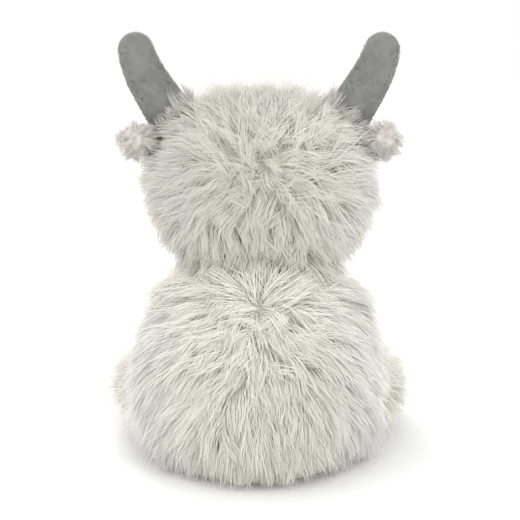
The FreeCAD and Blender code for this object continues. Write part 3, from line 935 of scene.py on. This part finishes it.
def make_panels():
    seed = FIRST_PATCH_SEED
    for body, form, comb, look, patches in (
        ("torso", TORSO, comb_torso, TORSO_LOOK, torso_patches()),
        ("torso", TORSO, comb_torso, BELLY_LOOK, [("belly_pile", BELLY_BOX, "belly_fur")]),
        ("head", HEAD, comb_head, REAR_HEAD_LOOK, head_patches()),
        ("neck", NECK, one_way(0, 0, -1), NECK_LOOK, [("neck_pile", NECK_BOX, "neck_fur")]),
    ):
        for name, box, node in patches:
            nodes = [node] if node else []
            place(grow(name, form, box, comb, look, seed), body, "long_pile", *nodes)
            seed += 1


def make_backings():
    """The cloth under the pile of the torso, head and neck, in the backing's painted shade."""
    above_seat, below_rim = half_space((0, 0, -1), -BACKING_BOTTOM), half_space((0, 0, 1), TORSO_TOP - 1)
    above_neck = half_space((0, 0, -1), -HEAD_BOTTOM)
    for body, form, centre in (
        ("torso", overlap(deeper(TORSO, BACKING), above_seat, below_rim), np.array([0.0, 0.0, 55.0])),
        ("head", overlap(deeper(HEAD, BACKING), above_neck), np.array([0.0, 0.0, 165.0])),
        ("neck", deeper(NECK, NECK_BACKING), NECK_CENTRE),
    ):
        place(undercoat(f"{body}_backing", form, centre, BACKING_IN_PAINTED_SHADE), body, "long_pile")


def make_face():
    face = grow("face_pile", FACE, FACE_BOX, comb_face, FACE_LOOK, FACE_SEED)
    place(face, "head", "trimmed_pile", "face_fur")
    forelock = grow("forelock", HEAD, FORELOCK_BOX, comb_forelock, FORELOCK_LOOK, FORELOCK_SEED)
    place(forelock, "head", "long_pile")
    backward = one_way(0.0, 0.9, -0.3)
    muzzle = grow("muzzle_pile", MUZZLE, MUZZLE_BOX, backward, MUZZLE_LOOK, MUZZLE_SEED)
    place(muzzle, "head", "muzzle_fabric")


# Ears, horns and legs, made on the left side and mirrored for the right


EAR_BOX = (45, -5, 170), (85, 25, 202)
HORN_BOX = (35, -20, 184), (82, 14, 250)
COLLAR_BOX = (30, -22, 180), (76, 16, 225)
FRONT_LEG_BOX = (5, -122, 2), (50, -40, 90)
FRONT_HOOF_BOX = (8, -120, 0), (42, -80, 40)
HIND_LEG_BOX = (38, -120, 3), (92, -3, 60)
HIND_HOOF_BOX = (45, -115, 0), (90, -75, 42)
SEEDS = {
    "left": dict(
        ear=201, nap=202, front_leg=203, hind_leg=204, collar=205, lining=206, hind_hoof=223, front_hoof=224,
    ),
    "right": dict(
        ear=261, nap=262, front_leg=263, hind_leg=264, collar=265, lining=266, hind_hoof=284, front_hoof=285,
    ),
}


def make_ear(side, seeds, flip):
    """An ear's fluffy back, the backing under it, and its lining with its nap."""
    body = f"ear_{side}"
    pile = grow(f"{body}_pile", EAR, EAR_BOX, comb_ear, EAR_LOOK, seeds["ear"], flip)
    place(pile, body, "long_pile", f"{body}_fur")
    pad = undercoat(f"{body}_pad", LINING, LINING_CENTRE, PLUSH, flip)
    place(pad, body, "ear_lining", f"{body}_lining")
    inner = grow(f"{body}_inner", LINING, EAR_BOX, comb_lining, LINING_LOOK, seeds["lining"], flip)
    place(inner, body, "ear_lining")
    behind_lining = overlap(deeper(EAR, EAR_BACKING), half_space((0, -1, 0), -LINING_FRONT - 1.0))
    backing = undercoat(f"{body}_backing", behind_lining, (EAR_ROOT + EAR_TIP) / 2, BACKING_IN_PAINTED_SHADE, flip)
    place(backing, body, "long_pile")


def horn_surface():
    """Rings of points from the left horn's root to over its tip, with seams and slight puckers."""
    share = np.linspace(0, 1, HORN_ALONG)
    middle = horn_axis(share)
    way = unit(np.gradient(middle, axis=0))
    outward = unit(np.cross(way, np.array([0.0, 1.0, 0.0])))
    ahead = np.cross(outward, way)
    radius = HORN_ROOT_RADIUS + (HORN_TIP_RADIUS - HORN_ROOT_RADIUS) * share
    cap = np.linspace(0, math.pi / 2, HORN_CAP + 1)[1:]
    centre = np.concatenate([middle, middle[-1] + way[-1] * (np.sin(cap) * radius[-1])[:, None]])
    radius = np.concatenate([radius, np.cos(cap) * radius[-1]])
    outward = np.concatenate([outward, np.tile(outward[-1], (HORN_CAP, 1))])
    ahead = np.concatenate([ahead, np.tile(ahead[-1], (HORN_CAP, 1))])
    turn = np.linspace(0, 2 * math.pi, HORN_AROUND, endpoint=False)
    ring = outward[:, None] * np.cos(turn)[None, :, None] + ahead[:, None] * np.sin(turn)[None, :, None]
    points = (centre[:, None] + ring * radius[:, None, None]).reshape(-1, 3)
    rows = np.arange(len(centre))[:, None]
    seam = np.exp(-((np.sin(turn) / SEAM_WIDTH) ** 2))[None, :] * np.ones((len(rows), 1))
    pucker = np.exp(-((np.sin(turn) / PUCKER_WIDTH) ** 2))[None, :] * np.sin(rows * PUCKER_STEP)
    shift = sum(height * fractal(points, span, seed) for height, span, seed in HORN_BUMPS)
    shift = shift - SEAM_DEPTH * seam.ravel() + PUCKER_HEIGHT * pucker.ravel()
    fade = np.clip(radius / HORN_TIP_RADIUS, 0, 1)[:, None] * np.ones((1, HORN_AROUND))
    return points + ring.reshape(-1, 3) * (shift * fade.ravel())[:, None], len(rows)


def horn_tube(side):
    """Stuffed horn: a bent tube with a round tip."""
    points, rows = horn_surface()
    faces = []
    for i in range(rows - 1):
        here, above = i * HORN_AROUND, (i + 1) * HORN_AROUND
        for k in range(HORN_AROUND):
            n = (k + 1) % HORN_AROUND
            faces.append((here + k, here + n, above + n, above + k))
    faces.append(tuple(range(HORN_AROUND - 1, -1, -1)))
    faces.append(tuple((rows - 1) * HORN_AROUND + k for k in range(HORN_AROUND)))
    if side == "right":
        points = mirror(points)
        faces = [tuple(reversed(face)) for face in faces]
    mesh = bpy.data.meshes.new(f"horn_{side}")
    mesh.from_pydata([tuple(point) for point in points * MM], [], faces)
    for polygon in mesh.polygons:
        polygon.use_smooth = len(polygon.vertices) == 4
    return shown(f"horn_{side}", mesh, VELBOA)


def make_horn(side, seeds, flip):
    """A horn, the nap on it, and the collar of long pile round its root, which stays on the head."""
    body = f"horn_{side}"
    place(horn_tube(side), body, "horn_fabric", f"{body}_back", f"{body}_front")
    upward = one_way(0.35, 0.0, 0.9)
    nap = grow(f"{body}_nap", HORN, HORN_BOX, upward, NAP_LOOK, seeds["nap"], flip)
    place(nap, body, "horn_fabric")
    collar = grow(f"{body}_collar", HORN, COLLAR_BOX, comb_collar, COLLAR_LOOK, seeds["collar"], flip)
    place(collar, "head", "long_pile")


def make_sleeve(body, form, box, look, root, cuff, way, seed, flip):
    """The long pile of a leg from its root to its cuff, and the backing under it."""
    downward = one_way(*(way - UP * 0.35))
    pile = grow(f"{body}_pile", form, box, downward, look, seed, flip)
    place(pile, body, "long_pile", f"{body}_fur")
    core = overlap(deeper(form, LEG_BACKING), half_space(way, float(cuff @ way)))
    backing = undercoat(f"{body}_backing", core, root + (cuff - root) * 0.5, BACKING_IN_PAINTED_SHADE, flip)
    place(backing, body, "long_pile")


def make_hoof(body, form, box, toe, seed, flip, nodes):
    """The stuffed cloth of a hoof, and the nap on it."""
    cloth = undercoat(f"{body}_hoof_cloth", form, toe, VELBOA, flip)
    place(cloth, body, "hoof_fabric", *(f"{body}_{node}" for node in nodes))
    nap = grow(f"{body}_hoof_nap", form, box, one_way(0.0, -0.8, -0.5), HOOF_LOOK, seed, flip)
    place(nap, body, "hoof_fabric")


def make_legs(side, seeds, flip):
    front, hind = f"front_leg_{side}", f"hind_leg_{side}"
    seed = seeds["front_leg"]
    make_sleeve(front, FRONT_LEG, FRONT_LEG_BOX, FRONT_LOOK, SHOULDER, WRIST, FRONT_WAY, seed, flip)
    seed = seeds["hind_leg"]
    make_sleeve(hind, HIND_LEG, HIND_LEG_BOX, HIND_LOOK, HIP, ANKLE, HIND_WAY, seed, flip)
    make_hoof(front, FRONT_HOOF, FRONT_HOOF_BOX, FRONT_TOE, seeds["front_hoof"], flip, ["hoof"])
    make_hoof(hind, HIND_HOOF, HIND_HOOF_BOX, HIND_TOE, seeds["hind_hoof"], flip, ["hoof", "sole"])


def finish_nodes():
    """Materials of the CAD nodes that are kept as they are."""
    limbs = [f"{limb}_{side}" for limb in ("horn", "front_leg", "hind_leg") for side in ("left", "right")]
    stuffed = [f"{part}_stuffing" for part in ("torso", "head", "muzzle", *limbs)]
    for finish, nodes in (
        (PLUSH, ["seat_panel", "muzzle_top", "muzzle_chin"]),
        (FIBRE, [*stuffed, "bean_pellets", "eye_washers"]),
        # The neck's stuffing takes the backing's painted shade, so that it shows as shade where the pile
        # parts.
        (BACKING_IN_PAINTED_SHADE, ["neck_stuffing"]),
        (COTTON, ["bean_pouch"]),
        (THREAD, ["back_seam_thread", "mouth_thread"]),
        (NOSE_CLOTH, ["nose"]),
        (EYE_PLASTIC, ["eye_left", "eye_right"]),
    ):
        for node in nodes:
            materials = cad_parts[node].data.materials
            materials.clear()
            materials.append(finish)


# Stage: pale floor, soft lights and a camera behind the toy, in metres


def area_light(name, spot, size, power):
    """A round light that looks at the middle of the toy."""
    data = bpy.data.lights.new(name, "AREA")
    data.shape, data.size, data.energy = "DISK", size, power
    lamp = bpy.data.objects.new(name, data)
    bpy.context.scene.collection.objects.link(lamp)
    lamp.location = spot
    lamp.rotation_euler = (Vector((0, 0, 0.12)) - Vector(spot)).to_track_quat("-Z", "Y").to_euler()


def make_stage():
    bpy.ops.mesh.primitive_plane_add(size=60.0, location=(0, 0, -0.0005))
    floor = bpy.context.object
    floor.name = "floor"
    surface = cloth_material("floor", (0.90, 0.90, 0.90), (0.93, 0.93, 0.93), 40, 0.02, sheen=0)
    floor.data.materials.append(surface)
    world = bpy.data.worlds.new("studio")
    world.use_nodes = True
    sky = world.node_tree.nodes["Background"]
    sky.inputs["Color"].default_value = (1.0, 1.0, 1.0, 1.0)
    sky.inputs["Strength"].default_value = 1.1
    bpy.context.scene.world = world
    bpy.context.scene.view_settings.view_transform = "Standard"
    area_light("key", (-0.55, 1.0, 1.05), 1.4, 7)
    area_light("fill", (0.9, 0.7, 0.5), 1.0, 2.5)
    area_light("front", (0.5, -1.1, 0.9), 0.9, 9)


def make_camera():
    """A camera straight behind the toy and a little above it."""
    aim, reach, view_width, sensor = np.array([-0.0006, 0.0, 0.117]), 0.85, 0.299, 36
    azimuth, elevation = math.radians(180), math.radians(12)
    level = math.cos(elevation)
    offset = np.array([math.sin(azimuth) * level, -math.cos(azimuth) * level, math.sin(elevation)])
    data = bpy.data.cameras.new("camera")
    data.lens = sensor * reach / view_width
    camera = bpy.data.objects.new("camera", data)
    bpy.context.scene.collection.objects.link(camera)
    camera.location = aim + offset * reach
    camera.rotation_euler = Vector(-offset).to_track_quat("-Z", "Y").to_euler()
    bpy.context.scene.camera = camera


make_panels()
make_backings()
make_face()
for side in ("left", "right"):
    flip = side == "right"
    make_ear(side, SEEDS[side], flip)
    make_horn(side, SEEDS[side], flip)
    make_legs(side, SEEDS[side], flip)
finish_nodes()
make_stage()
make_camera()
